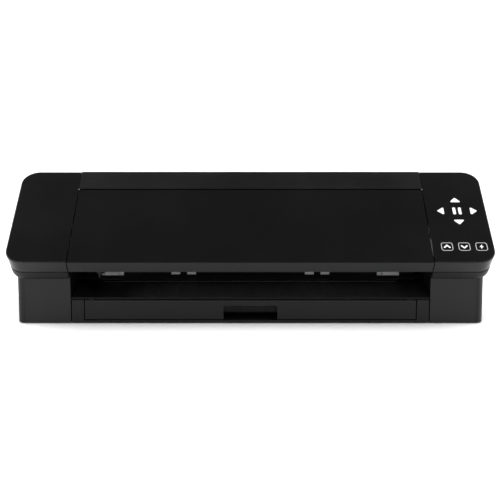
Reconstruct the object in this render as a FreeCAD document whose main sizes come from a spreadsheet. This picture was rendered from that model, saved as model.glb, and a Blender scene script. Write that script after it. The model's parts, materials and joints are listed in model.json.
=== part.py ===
import FreeCAD, Part
import math
import os
import re

import Sketcher
from FreeCAD import Placement, Rotation, Vector

# A desktop vinyl cutter for media up to 12 inches wide.  The frame: X to the right, Y to the back,
# Z up, the origin on the table under the middle of the machine.  The top slopes up from a crease at
# the front.  Pieces of the sloping top are drawn flat, in (X, along the slope, out of the slope),
# and then tilted about the crease.

SIZES = [
    # the sloping top
    ("half_width", 286.0), ("front_y", -97.95), ("back_y", 97.5), ("crease_z", 78.1),
    ("slope", 35.0), ("slab_length", 164.0), ("rim_depth", 17.3), ("rim_inset", 2.2),
    ("corner_radius", 22.0), ("panel_wall", 2.5), ("pod_inner", 213.2),
    ("seam", 1.0), ("bowl_depth", 32.5), ("rim_round", 1.2),
    # the sliding lid, and the fixed band behind it
    ("lid_half", 212.1), ("lid_drop", 0.5), ("crease_round", 0.5), ("lid_length", 129.1),
    ("lid_wall", 2.5), ("lip_wall", 3.0), ("slide_angle", 27.0), ("lid_travel", 105.0), ("band_gap", 2.0),
    ("tongue_length", 11.0), ("runner_length", 16.0), ("rail_start_y", -72.0), ("rail_start_z", 66.66),
    # the lower body
    ("body_half", 277.0), ("body_front", -69.5), ("body_wall", 2.5), ("base_z", 1.3),
    ("floor_top", 3.4), ("foot_top", 2.5), ("knee_z", 92.0), ("shoulder_y", 45.0), ("shoulder_z", 141.0),
    ("body_corner", 10.0), ("frame_face", 213.4), ("frame_plate", 2.5), ("bay_half", 212.4),
    # media path
    ("shelf_z", 31.6), ("shelf_low", 29.2), ("shelf_back_y", -20.2), ("shelf_back_z", 41.0),
    ("media_z", 41.2),
    ("rib_pitch", 21.7), ("rib_count", 15.0), ("slot_half", 170.0), ("slot_top", 52.0),
    ("tool_y", -15.0), ("feed_y", 2.0), ("feed_z", 35.5), ("feed_radius", 6.0),
    ("pinch_z", 49.35), ("pinch_radius", 7.5), ("shaft_radius", 3.0),
    # carriage and belt
    ("carriage_x", -172.0), ("carriage_width", 60.0), ("rail_front", 16.0), ("rail_back", 28.0),
    ("rail_bottom", 68.0), ("rail_top", 90.0), ("belt_y", 24.0), ("belt_x", 190.0),
    ("belt_low", 95.5), ("belt_high", 101.5), ("tool_pitch", 28.0), ("tool_bore", 7.0),
    # drawer
    ("drawer_half", 196.5), ("drawer_low", 5.2), ("drawer_high", 28.0), ("drawer_back", 48.0),
    ("drawer_gap", 1.2), ("grip_reach", 6.4), ("grip_low", 12.6), ("notch_depth", 34.0),
    ("tray_low", 5.6), ("recess_half", 32.0), ("recess_top", 21.4), ("feeder_z", 12.0),
    ("feeder_radius", 4.5),
    # gears
    ("gear_module", 1.0), ("gear_teeth", 36.0), ("pinion_teeth", 12.0), ("gear_gap", 0.15),
]

doc = FreeCAD.newDocument("VinylCutter")
sheet = doc.addObject("Spreadsheet::Sheet", "Sizes")
for row, (alias, number) in enumerate(SIZES, start=1):
    sheet.set(f"A{row}", alias)
    sheet.set(f"B{row}", str(number))
    sheet.setAlias(f"B{row}", alias)
doc.recompute()

ALIASES = [alias for alias, number in SIZES]
NODES = []
UPRIGHT = Rotation()
ALONG_X = Rotation(Vector(0, 1, 0), 90)
ALONG_Y = Rotation(Vector(1, 0, 0), -90)


def named(formula):
    """A formula with every size name pointed at its cell in the sheet."""
    return re.sub(r"[a-z_][a-z_0-9]*", lambda word: "Sizes." + word.group() if word.group() in ALIASES
                  else word.group(), str(formula))


def size(formula):
    """The value that a formula has now."""
    value = sheet.evalExpression(named(formula))
    return float(getattr(value, "Value", value))


def bind(thing, prop, formula):
    thing.setExpression(prop, named(formula))


def place(thing, x=0, y=0, z=0, turn=UPRIGHT):
    thing.Placement = Placement(Vector(), turn)
    for letter, formula in zip("xyz", (x, y, z)):
        bind(thing, f"Placement.Base.{letter}", formula)
    return thing


def tilt(thing):
    """Moves a piece drawn in the frame of the sloping top to its place."""
    thing.Placement = Placement(Vector(), Rotation(Vector(1, 0, 0), 30))
    bind(thing, "Placement.Base.y", "front_y")
    bind(thing, "Placement.Base.z", "crease_z")
    bind(thing, "Placement.Rotation.Angle", "slope")
    return thing


def node(thing, label):
    thing.Label = label
    NODES.append(thing)
    return thing


def box(name, x, y, z):
    block = doc.addObject("Part::Box", name)
    for prop, (low, high) in zip(("Length", "Width", "Height"), (x, y, z)):
        bind(block, prop, f"({high}) - ({low})")
    return place(block, x[0], y[0], z[0])


def rod(name, centre, radius, length, turn=UPRIGHT):
    cylinder = doc.addObject("Part::Cylinder", name)
    bind(cylinder, "Radius", radius)
    bind(cylinder, "Height", length)
    return place(cylinder, *centre, turn=turn)


def fuse(name, pieces):
    joined = doc.addObject("Part::MultiFuse", name)
    joined.Shapes = pieces
    return joined


def cut(name, base, tools):
    result = doc.addObject("Part::Cut", name)
    result.Base = base
    result.Tool = tools[0] if len(tools) == 1 else fuse(name + "_tools", tools)
    return result


def mirrored(name, source):
    twin = doc.addObject("Part::Mirroring", name)
    twin.Source = source
    twin.Normal = Vector(1, 0, 0)
    return twin


def origin_plane(body, role):
    return [item for item in body.Origin.OriginFeatures if item.Role == role][0]


def sketch_on(body, name, plane, offset="0"):
    sketch = body.newObject("Sketcher::SketchObject", name)
    sketch.AttachmentSupport = [(origin_plane(body, plane), "")]
    sketch.MapMode = "FlatFace"
    bind(sketch, "AttachmentOffset.Base.z", offset)
    return sketch


def fix_point(sketch, element, end, point):
    for kind, formula in zip(("DistanceX", "DistanceY"), point):
        index = sketch.addConstraint(Sketcher.Constraint(kind, -1, 1, element, end, size(formula)))
        bind(sketch, f"Constraints[{index}]", formula)


def polygon(sketch, points):
    """A closed outline of straight lines, every corner tied to the sheet."""
    spots = [Vector(size(across), size(up), 0) for across, up in points]
    first = len(sketch.Geometry)
    count = len(spots)
    for index in range(count):
        sketch.addGeometry(Part.LineSegment(spots[index], spots[(index + 1) % count]), False)
    for index in range(count):
        after = first + (index + 1) % count
        sketch.addConstraint(Sketcher.Constraint("Coincident", first + index, 2, after, 1))
    for index, point in enumerate(points):
        fix_point(sketch, first + index, 1, point)
    return sketch


def circle(sketch, centre, radius):
    spot = Vector(size(centre[0]), size(centre[1]), 0)
    element = sketch.addGeometry(Part.Circle(spot, Vector(0, 0, 1), size(radius)), False)
    fix_point(sketch, element, 3, centre)
    index = sketch.addConstraint(Sketcher.Constraint("Radius", element, size(radius)))
    bind(sketch, f"Constraints[{index}]", radius)


def pad(body, sketch, length, middle=False):
    feature = body.newObject("PartDesign::Pad", sketch.Name + "_pad")
    feature.Profile = sketch
    bind(feature, "Length", length)
    feature.Midplane = middle
    return feature


def prism(name, points, low, high, plane="YZ_Plane", holes=()):
    """A PartDesign body: an outline on a plane, with round holes, padded from low to high."""
    body = doc.addObject("PartDesign::Body", name)
    sketch = sketch_on(body, name + "_outline", plane, low)
    polygon(sketch, points)
    for centre, radius in holes:
        circle(sketch, centre, radius)
    pad(body, sketch, f"({high}) - ({low})")
    return body


def bar(name, points, half, holes=()):
    """A prism across the machine, as wide to the left as to the right."""
    return prism(name, points, f"-({half})", half, holes=holes)


def fillet(body, radius, chosen, kind="Fillet"):
    """Rounds the edges of a body whose middle points pass the test."""
    doc.recompute()
    tip = body.Tip
    names = []
    for index, edge in enumerate(tip.Shape.Edges, start=1):
        middle = edge.valueAt((edge.FirstParameter + edge.LastParameter) / 2)
        if chosen(middle, edge):
            names.append(f"Edge{index}")
    feature = body.newObject("PartDesign::" + kind, f"{body.Name}_{kind}_{len(body.Group)}")
    feature.Base = (tip, names)
    bind(feature, "Radius" if kind == "Fillet" else "Size", radius)
    return feature


def turned(name, steps, centre, turn=UPRIGHT):
    """A shaft or roller: steps of (start, end, radius) along the X axis, revolved."""
    body = doc.addObject("PartDesign::Body", name)
    sketch = sketch_on(body, name + "_profile", "XY_Plane")
    points = [(steps[0][0], "0")]
    for start, end, radius in steps:
        points += [(start, radius), (end, radius)]
    points.append((steps[-1][1], "0"))
    polygon(sketch, points)
    revolution = body.newObject("PartDesign::Revolution", name + "_turned")
    revolution.Profile = sketch
    revolution.ReferenceAxis = (sketch, ["H_Axis"])
    revolution.Angle = 360
    return place(body, *centre, turn=turn)


# ---------------------------------------------------------------- the sloping top

def rim_section(name, depth, inset):
    """The outline of a right-hand end of the top at one depth, with its two outer corners round."""
    sketch = doc.addObject("Sketcher::SketchObject", name)
    radius = f"(corner_radius - ({inset}))"
    left, right = "pod_inner", f"(half_width - ({inset}))"
    front, rear = f"({inset})", f"(slab_length - ({inset}))"
    lines = [((left, front), (f"{right} - {radius}", front)),
             ((right, f"{front} + {radius}"), (right, f"{rear} - {radius}")),
             ((f"{right} - {radius}", rear), (left, rear)),
             ((left, rear), (left, front))]
    for start, end in lines:
        element = sketch.addGeometry(Part.LineSegment(Vector(size(start[0]), size(start[1]), 0),
                                                      Vector(size(end[0]), size(end[1]), 0)), False)
        fix_point(sketch, element, 1, start)
        fix_point(sketch, element, 2, end)
    for before, after, angle, level in ((0, 1, -90, f"{front} + {radius}"),
                                        (1, 2, 0, f"{rear} - {radius}")):
        middle = Vector(size(f"{right} - {radius}"), size(level), 0)
        whole = Part.Circle(middle, Vector(0, 0, 1), size(radius))
        arc = sketch.addGeometry(Part.ArcOfCircle(whole, math.radians(angle), math.radians(angle + 90)),
                                 False)
        sketch.addConstraint(Sketcher.Constraint("Coincident", before, 2, arc, 1))
        sketch.addConstraint(Sketcher.Constraint("Coincident", arc, 2, after, 1))
        index = sketch.addConstraint(Sketcher.Constraint("Radius", arc, size(radius)))
        bind(sketch, f"Constraints[{index}]", radius)
    return place(sketch, 0, 0, f"-({depth})")


def rim_loft(name, sections, ruled):
    loft = doc.addObject("Part::Loft", name)
    loft.Sections = [rim_section(f"{name}_{index}", depth, inset)
                     for index, (depth, inset) in enumerate(sections)]
    loft.Solid = True
    loft.Ruled = ruled
    return loft


def top_panels():
    outer = rim_loft("top_outer", [("0", "0"), ("rim_depth", "rim_inset")], True)
    inner = rim_loft("top_inner", [("panel_wall", "panel_wall"),
                                   ("rim_depth + 1", "panel_wall + rim_inset")], True)
    hollow = box("top_hollow", ("pod_inner + panel_wall", "half_width"), ("-1", "slab_length + 1"),
                 ("-rim_depth - 2", "0"))
    core = doc.addObject("Part::Common", "top_core")
    core.Base = inner
    core.Tool = hollow
    shell = cut("top_shell", outer, [core])
    right = tilt(doc.addObject("Part::Fillet", "touch_panel_edge"))
    right.Base = shell
    doc.recompute()
    seam_x, round_off = size("pod_inner + 0.01"), size("rim_round")
    top_edges = [index for index, edge in enumerate(shell.Shape.Edges, start=1)
                 if abs(edge.BoundBox.ZMin) < 0.01 and abs(edge.BoundBox.ZMax) < 0.01
                 and edge.BoundBox.XMax > seam_x]
    right.Edges = [(index, round_off, round_off) for index in top_edges]
    node(right, "touch_panel")
    node(mirrored("left_top", right), "left_top_panel")


def side_covers():
    """The curved band under the rim and the upright lower body, as one shell open on its inner side."""
    curve = [(0, 2.2), (0.71, 3.45), (0.85, 4.2), (0.94, 5.4), (0.985, 7.2), (1, 9.5)]

    def bowl(name, wall):
        sections = []
        for part, inset in curve:
            depth = f"rim_depth + seam + (bowl_depth - {wall} - rim_depth - seam) * {part}"
            sections.append((depth, f"{inset} + {wall}"))
        return tilt(rim_loft(name, sections, True))

    def lower(name, wall, floor, front_top, shoulder):
        points = [(f"body_front + {wall}", floor), (f"back_y - {wall}", floor),
                  (f"back_y - {wall}", f"knee_z - {wall} * 0.45"), shoulder,
                  (f"body_front + {wall}", front_top)]
        body = prism(name, points, "pod_inner", f"body_half - {wall}")
        outer_x = size(f"body_half - {wall}")
        fillet(body, f"body_corner - {wall}",
               lambda middle, edge: abs(middle.x - outer_x) < 0.01 and middle.z > 5
               and not (middle.y < 40 and middle.z > size("crease_z - 15")))
        return body

    outside = lower("lower_outer", "0", "base_z", "crease_z - 17", ("shoulder_y", "shoulder_z"))
    inside = lower("lower_inner", "body_wall", "base_z - 1", "crease_z - 11",
                   ("shoulder_y - 5.5", "shoulder_z + 0.3"))
    outer = fuse("cover_outer", [bowl("bowl_outer", "0"), outside])
    inner = fuse("cover_inner", [bowl("bowl_inner", "body_wall"), inside])
    above = tilt(box("cover_above", ("pod_inner - 1", "half_width - rim_inset - body_wall - 2"),
                     ("rim_inset + body_wall + 2", "slab_length - rim_inset - body_wall - 2"),
                     ("-rim_depth - seam - 3", "0")))
    shell = cut("cover_shell", outer, [inner, above])
    node(mirrored("left_cover", shell), "left_side_cover")
    jack = rod("jack_hole", ("238", "back_y - 5", "24"), "4.6", "10", ALONG_Y)
    port = box("port_hole", ("251.8", "264.2"), ("back_y - 5", "back_y + 5"), ("18.3", "29.7"))
    button = rod("button_hole", ("248", "back_y - 5", "62"), "7.3", "10", ALONG_Y)
    node(cut("right_cover", shell, [jack, port, button]), "right_side_cover")


def sliding_lid():
    """Panel and front lip in one.  Its back edge follows the slide, so that it can dip under the band."""
    rise = "tan(slope - slide_angle)"
    tip = "(lid_length + tongue_length)"
    points = [("0", "-lid_drop"), ("lid_length", "-lid_drop"),
              (tip, f"-lid_drop - tongue_length * {rise}"),
              (tip, "-lid_drop - lid_wall"),
              ("rim_inset + lip_wall", "-lid_drop - lid_wall"),
              ("rim_inset + lip_wall", "-rim_depth"), ("rim_inset", "-rim_depth")]
    body = bar("lid", points, "lid_half")
    drop = size("lid_drop")
    fillet(body, "crease_round", lambda middle, edge: abs(middle.y) < 0.01 and abs(middle.z + drop) < 0.01)
    node(tilt(body), "sliding_lid")


def rear_band():
    rise = "tan(slope - slide_angle)"
    start = "(lid_length + band_gap)"
    full = f"(lid_length + 3 / {rise})"
    points = [(start, "0"), ("slab_length", "0"), ("slab_length", "-3"), (full, "-3"),
              (start, f"-lid_drop - (band_gap * {rise}) + 0.45")]
    band = bar("band", points, "pod_inner - 0.5")
    back = size("slab_length")
    fillet(band, "1.6", lambda middle, edge: abs(middle.x) > 1 and abs(middle.y - back) < 0.01)
    node(tilt(band), "rear_band")


def along_slide(distance, across):
    """A point of the lid rail's profile: a distance along the slide, and a height across it."""
    return (f"rail_start_y + ({distance}) * cos(slide_angle) - ({across}) * sin(slide_angle)",
            f"rail_start_z + ({distance}) * sin(slide_angle) + ({across}) * cos(slide_angle)")


def slide_strip(name, start, end, low, high, inner, outer):
    points = [along_slide(start, low), along_slide(end, low), along_slide(end, high),
              along_slide(start, high)]
    return prism(name, points, inner, outer)


def lid_slides():
    """Rails on the side frames, and the runners under the lid that hook round them."""
    rail = slide_strip("lid_rail", "0", "lid_travel + runner_length + 2", "-2", "2",
                       "209.9", "frame_face")
    node(fuse("lid_rail_pair", [rail, mirrored("lid_rail_left", rail)]), "lid_rails")
    under = []
    for distance in ("1", "1 + runner_length"):
        y = along_slide(distance, "0")[0]
        under.append((y, f"crease_z + ({y} - front_y) * tan(slope) - (lid_drop + lid_wall) / cos(slope)"))
    web = prism("runner_web", [along_slide("1", "-5"), along_slide("1 + runner_length", "-5"),
                               under[1], under[0]], "206.6", "209.3")
    lower = slide_strip("runner_low", "1", "1 + runner_length", "-5", "-2.5", "209.3", "212.2")
    upper = slide_strip("runner_high", "1", "1 + runner_length", "2.5", "5", "209.3", "212.2")
    runner = fuse("lid_runner", [web, lower, upper])
    node(fuse("lid_runner_pair", [runner, mirrored("lid_runner_twin", runner)]), "lid_runners")


# ---------------------------------------------------------------- base, frames and covers

def base():
    tray = prism("tray", [("-274", "-66.3"), ("274", "-66.3"), ("274", "94.5"), ("-274", "94.5")],
                 "base_z", "floor_top", "XY_Plane")
    fillet(tray, "body_corner - body_wall + 0.3", lambda middle, edge: abs(abs(middle.x) - 274) < 0.01
           and edge.BoundBox.ZLength > 1)
    spots = [(x, y) for x in (-250, 250) for y in (-48, 78)]
    pockets = [rod(f"foot_pocket_{index}", (x, y, "0.5"), "9.3", "foot_top - 0.5")
               for index, (x, y) in enumerate(spots)]
    node(cut("tray_cut", tray, pockets), "base_tray")
    feet = [rod(f"foot_{index}", (x, y, "0"), "9", "foot_top") for index, (x, y) in enumerate(spots)]
    node(fuse("feet", feet), "rubber_feet")
    screws = []
    for index, (x, y) in enumerate([(x, y) for x in (-225, -265, 225, 265) for y in (-30, 60)]):
        head = rod(f"screw_head_{index}", (x, y, "floor_top"), "3", "2")
        shank = rod(f"screw_shank_{index}", (x, y, "floor_top + 2"), "1.5", "8")
        screws.append(fuse(f"screw_{index}", [head, shank]))
    node(fuse("screws", screws), "case_screws")


def fascia():
    plate = box("fascia_plate", ("-bay_half + 0.4", "bay_half - 0.4"), ("body_front", "body_front + 2.8"),
                ("base_z", "drawer_high + 0.4"))
    window = box("fascia_window", ("-drawer_half - drawer_gap", "drawer_half + drawer_gap"),
                 ("body_front - 1", "body_front + 4"), ("drawer_low - drawer_gap", "drawer_high + 2"))
    node(cut("fascia", plate, [window]), "front_fascia")


def side_frames():
    """Plates that close the pods towards the bay, and carry everything between them."""
    points = [("body_front + 3", "floor_top"), ("back_y - 3", "floor_top"),
              ("back_y - 3", "knee_z - 2"), ("shoulder_y - 3", "shoulder_z - 3.5"),
              ("body_front + 3", "57")]
    frame = prism("frame_plate_right", points, "frame_face", "frame_face + frame_plate",
                  holes=[(("feed_y", "feed_z"), "6.5")])
    node(frame, "right_side_frame")
    node(mirrored("frame_plate_left", frame), "left_side_frame")


def rear_cover():
    """One folded wall: upright, then a recess for the media slot, then the slope up to the band."""
    outer = [("back_y", "base_z"), ("back_y", "33"), ("90", "36"), ("90", "68"), ("back_y", "71"),
             ("back_y", "knee_z"), ("shoulder_y", "shoulder_z"), ("43.5", "149")]
    inner = [("41", "149"), ("42.4", "140"), ("95", "90.9"), ("95", "72.6"), ("87.5", "69.6"),
             ("87.5", "34.4"), ("95", "31.4"), ("95", "base_z")]
    wall = bar("rear_wall", outer + inner, "bay_half")
    slot = box("media_slot", ("-slot_half", "slot_half"), ("80", "100"), ("media_z", "slot_top"))
    vents = [box(f"vent_{index}", (x, x + 2.5), ("94", "99"), ("76", "88"))
             for index, x in enumerate(range(-200, -140, 6))]
    node(cut("rear_shell", wall, [slot] + vents), "rear_cover")


# ---------------------------------------------------------------- media path

def media_path():
    shelf = bar("shelf", [("body_front", "shelf_low"), ("body_front", "shelf_z"),
                          ("shelf_back_y", "shelf_back_z"), ("shelf_back_y", "shelf_back_z - 2"),
                          ("body_front + 3", "shelf_low")], "bay_half")
    rise = "(shelf_back_z - shelf_z) / (shelf_back_y - body_front)"
    first = "-(rib_pitch * (rib_count - 1) / 2)"
    sketch = sketch_on(shelf, "rib_outline", "YZ_Plane", f"{first} - 0.4")
    ends = ("body_front + 3", "shelf_back_y - 2")
    heights = [f"shelf_z + ({y} - body_front) * {rise}" for y in ends]
    polygon(sketch, [(ends[0], f"{heights[0]} - 0.5"), (ends[1], f"{heights[1]} - 0.5"),
                     (ends[1], f"{heights[1]} + 0.7"), (ends[0], f"{heights[0]} + 0.7")])
    rib = pad(shelf, sketch, "0.8")
    ribs = shelf.newObject("PartDesign::LinearPattern", "ribs")
    ribs.Originals = [rib]
    ribs.Direction = (origin_plane(shelf, "X_Axis"), [""])
    bind(ribs, "Length", "rib_pitch * (rib_count - 1)")
    bind(ribs, "Occurrences", "rib_count")
    shelf.Tip = ribs
    node(shelf, "media_shelf")

    node(bar("platen", [("-19.8", "34"), ("-19.8", "39"), ("-19", "media_z"),
                        ("tool_y - 2.6", "media_z"), ("tool_y - 2.6", "40.4"),
                        ("tool_y + 2.6", "40.4"), ("tool_y + 2.6", "media_z"),
                        ("-5.2", "media_z"), ("-5.2", "39.2"), ("-12", "34")], "bay_half"),
         "cutting_platen")
    node(box("strip", ("-180", "180"), ("tool_y - 2.5", "tool_y + 2.5"), ("40.4", "41.4")),
         "cutting_strip")
    node(bar("guide", [("9.3", "39.2"), ("87.3", "39.2"), ("87.3", "media_z"), ("10", "media_z"),
                       ("9.3", "40.6")], "bay_half"), "rear_media_guide")


def feed_drive():
    core, grit = "feed_radius - 0.4", "feed_radius"
    steps = [("-232", "-205", "4"), ("-205", "-187", core),
             ("-187", "-155", grit), ("-155", "-100", core), ("-100", "-65", grit),
             ("-65", "65", core), ("65", "100", grit), ("100", "155", core), ("155", "187", grit),
             ("187", "205", core), ("205", "218", "4")]
    node(turned("feed", steps, ("0", "feed_y", "feed_z")), "feed_roller")
    bushes = []
    for index, x in enumerate(("frame_face", "-frame_face - 3.5")):
        ring = rod(f"bush_{index}", (x, "feed_y", "feed_z"), "6.45", "3.5", ALONG_X)
        hole = rod(f"bush_hole_{index}", (f"{x} - 1", "feed_y", "feed_z"), "4.05", "6", ALONG_X)
        bushes.append(cut(f"bush_ring_{index}", ring, [hole]))
    node(fuse("bushes", bushes), "feed_bushes")

    gap = "(gear_module * (gear_teeth + pinion_teeth) / 2 + 0.1)"
    gear = spur("gear_disc", "gear_teeth", "-230", "6", 0)
    bore = rod("gear_bore", ("-231", "0", "0"), "4", "8", ALONG_X)
    node(place(cut("gear", gear, [bore]), 0, "feed_y", "feed_z"), "feed_gear")
    pinion = spur("pinion_disc", "pinion_teeth", "-230.5", "7", 0.5)
    shaft = rod("pinion_shaft", ("-238", "0", "0"), "1.5", "14", ALONG_X)
    node(place(fuse("pinion", [pinion, shaft]), 0, f"feed_y + {gap}", "feed_z"), "motor_pinion")
    can = rod("motor_can", ("-264", f"feed_y + {gap}", "feed_z"), "17", "26", ALONG_X)
    seat = rod("motor_seat", ("-240", f"feed_y + {gap}", "feed_z"), "1.55", "4", ALONG_X)
    node(cut("motor", can, [seat]), "feed_motor")
    plate = prism("mount_plate", [("8", "floor_top"), ("46", "floor_top"), ("46", "56"), ("8", "56")],
                  "-238", "-236", holes=[((f"feed_y + {gap}", "feed_z"), "3")])
    node(plate, "motor_mount")


def spur(name, teeth, start, width, phase):
    """A spur gear about the X axis.  A tooth is four-sided, and a tooth or a gap points along +Y."""
    count = int(size(teeth))
    module = size("gear_module")
    pitch_radius = module * count / 2
    root, tip = pitch_radius - 1.25 * module, pitch_radius + 0.9 * module
    spots = []
    for tooth in range(count):
        middle = 2 * math.pi * (tooth + phase) / count
        for radius, share in ((root, -0.36), (tip, -0.12), (tip, 0.12), (root, 0.36)):
            turn = middle + 2 * math.pi * (share * (1 - size("gear_gap") / 2)) / count
            spots.append(Vector(size(start), radius * math.cos(turn), radius * math.sin(turn)))
    outline = Part.makePolygon(spots + [spots[0]])
    gear = doc.addObject("Part::Feature", name)
    gear.Shape = Part.Face(outline).extrude(Vector(size(width), 0, 0))
    return gear


def pinch_drive():
    centre = ("0", "feed_y", "pinch_z")
    node(turned("pinch", [("-206", "206", "shaft_radius")], centre), "pinch_shaft")

    def wheel(name, low, high, radius="pinch_radius"):
        disc = rod(name, (low, "feed_y", "pinch_z"), radius, f"({high}) - ({low})", ALONG_X)
        hole = rod(name + "_hole", (f"{low} - 1", "feed_y", "pinch_z"), "shaft_radius + 0.03",
                   f"({high}) - ({low}) + 2", ALONG_X)
        return cut(name + "_ring", disc, [hole])

    outer = fuse("outer_wheel", [wheel("outer_collar", "157.3", "163.3", "pinch_radius - 0.5"),
                                 wheel("outer_neck", "163.3", "164", "5"),
                                 wheel("outer_tyre", "164", "184.4")])
    node(outer, "right_pinch_roller")
    node(mirrored("outer_twin", outer), "left_pinch_roller")
    pair = [wheel("middle_a", "67.7", "78.6", "pinch_radius"),
            wheel("middle_b", "87.3", "97.9", "pinch_radius")]
    right = fuse("middle_right", pair)
    node(fuse("middle_all", [right, mirrored("middle_left", right)]), "middle_pinch_rollers")

    brackets, springs = [], []
    for index, x in enumerate((-203, -83, 83, 203)):
        points = [("-2.8", "45.2"), ("7", "45.2"), ("7", "52"), ("13.2", "52"), ("13.2", "62"),
                  ("4", "62"), ("-2.8", "55.5")]
        brackets.append(prism(f"bracket_{index}", points, x - 2, x + 2,
                              holes=[(("feed_y", "pinch_z"), "shaft_radius + 0.06")]))
        springs.append(box(f"leaf_{index}", (x - 1.5, x + 1.5), ("4.5", "13.2"), ("62", "62.5")))
    guard = [box(f"guard_{index}", (f"-({half})", half), ("-7.9", "-6.4"), heights)
             for index, (half, heights) in enumerate([("frame_face", ("42.8", "46.8")),
                                                      ("135", ("46.8", "48"))])]
    node(fuse("brackets", brackets + guard), "pinch_brackets")
    node(fuse("leaves", springs), "pinch_springs")
    node(bar("beam", [("13.2", "44.5"), ("36", "44.5"), ("36", "46"), ("14.7", "46"),
                      ("14.7", "62.5"), ("36", "62.5"), ("36", "64"), ("13.2", "64")], "frame_face"),
         "pinch_beam")


# ---------------------------------------------------------------- carriage

def carriage_group():
    outer = [("rail_front", "rail_bottom"), ("rail_back", "rail_bottom"),
             ("rail_back", "rail_top"), ("rail_front", "rail_top")]
    node(bar("rail", outer, "frame_face"), "carriage_rail")

    left, right = "carriage_x - carriage_width / 2", "carriage_x + carriage_width / 2"
    front, back = "(rail_front - 0.4)", "(rail_back + 0.5)"
    profile = [("-6", "65.6"), ("31.5", "65.6"), ("31.5", "73"), (back, "73"),
               (back, "rail_bottom - 0.4"), (front, "rail_bottom - 0.4"), (front, "rail_top + 0.4"),
               (back, "rail_top + 0.4"), (back, "85"), ("31.5", "85"), ("31.5", "93.4"),
               ("-6", "93.4")]
    block = prism("carriage_block", profile, left, right)
    clamp = box("clamp", ("carriage_x - 6", "carriage_x + 6"), ("14.8", "21.2"), ("93.4", "101.5"))
    throat = box("clamp_slot", ("carriage_x - 7", "carriage_x + 7"), ("17.15", "18.85"), ("94.6", "102"))
    grooves = [box(f"groove_{side}", (f"carriage_x + {side} * tool_pitch / 2 - 4.3",
                                      f"carriage_x + {side} * tool_pitch / 2 + 4.3"),
                   ("-7", "-2.6"), ("60", "95")) for side in (-1, 1)]
    body = fuse("carriage_solid", [block, cut("belt_clamp", clamp, [throat])])
    node(cut("carriage_cut", body, grooves), "carriage")

    for number, side in ((1, -1), (2, 1)):
        holder(number, f"(carriage_x + {side} * tool_pitch / 2)")
    blade_tool("(carriage_x - tool_pitch / 2)")


def holder(number, x):
    body = box(f"holder_{number}", (f"{x} - 12", f"{x} + 12"), ("-24.5", "-6.5"), ("57", "88"))
    rib = box(f"holder_rib_{number}", (f"{x} - 4", f"{x} + 4"), ("-6.5", "-3"), ("66", "88"))
    bore = rod(f"holder_bore_{number}", (x, "tool_y", "50"), "tool_bore", "45")
    window = box(f"lock_window_{number}", (f"{x} - 4", f"{x} + 4"), ("-26", "tool_y"), ("68", "76"))
    solid = fuse(f"holder_solid_{number}", [body, rib])
    node(cut(f"holder_cut_{number}", solid, [bore, window]), f"tool_holder_{number}")
    stem = box(f"lock_stem_{number}", (f"{x} - 3.6", f"{x} + 3.6"), ("-24.9", "-22.4"), ("68.4", "75.6"))
    grip = box(f"lock_grip_{number}", (f"{x} - 6", f"{x} + 6"), ("-28", "-24.9"), ("66", "78"))
    node(fuse(f"lock_{number}", [stem, grip]), f"tool_lock_{number}")


def blade_tool(x):
    """The cutting tool in the first holder, drawn along its axis and stood upright."""
    upward = Rotation(Vector(0, 1, 0), -90)
    steps = [("-11", "-5", "2.2"), ("-5", "31.4", "tool_bore - 0.05"), ("31.4", "34.4", "8.5"),
             ("34.4", "36", "6.5")]
    node(turned("tool", steps, (x, "tool_y", "57"), upward), "blade_tool")
    edge = doc.addObject("Part::Cone", "blade_cone")
    bind(edge, "Radius1", "0.2")
    bind(edge, "Radius2", "0.9")
    bind(edge, "Height", "1.6")
    node(place(edge, x, "tool_y", "44.4"), "blade")


def belt_loop(name, half_gap):
    middle = box(name + "_middle", ("-belt_x", "belt_x"), (f"belt_y - {half_gap}", f"belt_y + {half_gap}"),
                 ("belt_low", "belt_high"))
    ends = [rod(f"{name}_end_{side}", (f"{side} * belt_x", "belt_y", "belt_low"), half_gap,
                "belt_high - belt_low") for side in (-1, 1)]
    return fuse(name, [middle] + ends)


def belt_drive():
    node(cut("belt", belt_loop("belt_out", "6.6"), [belt_loop("belt_in", "5.4")]), "drive_belt")
    upward = Rotation(Vector(0, 1, 0), -90)
    steps = [("94", "94.4", "1.5"), ("94.4", "95.2", "7.4"), ("95.2", "101.8", "5"),
             ("101.8", "102.6", "7.4"), ("102.6", "108", "1.5")]
    node(turned("driver", steps, ("belt_x", "belt_y", "0"), upward), "drive_pulley")
    node(turned("idler", steps, ("-belt_x", "belt_y", "0"), upward), "idler_pulley")
    can = rod("can", ("belt_x", "belt_y", "105.3"), "11.5", "21")
    seat = rod("can_seat", ("belt_x", "belt_y", "105"), "1.55", "4")
    node(cut("can_cut", can, [seat]), "carriage_motor")
    for side, label, hole in ((1, "motor_bracket", "3"), (-1, "idler_bracket", "1.55")):
        low, high = ("174", "205.5") if side > 0 else ("-205.5", "-174")
        top = box(label + "_top", (low, high), ("10", "35"), ("103.3", "105.3"))
        back = box(label + "_back", (low, high), ("33", "35"), ("64", "103.3"))
        eye = rod(label + "_eye", (f"{side} * belt_x", "belt_y", "103"), hole, "4")
        node(cut(label + "_cut", fuse(label + "_plate", [top, back]), [eye]), label)


# ---------------------------------------------------------------- roll-feeder drawer

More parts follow.
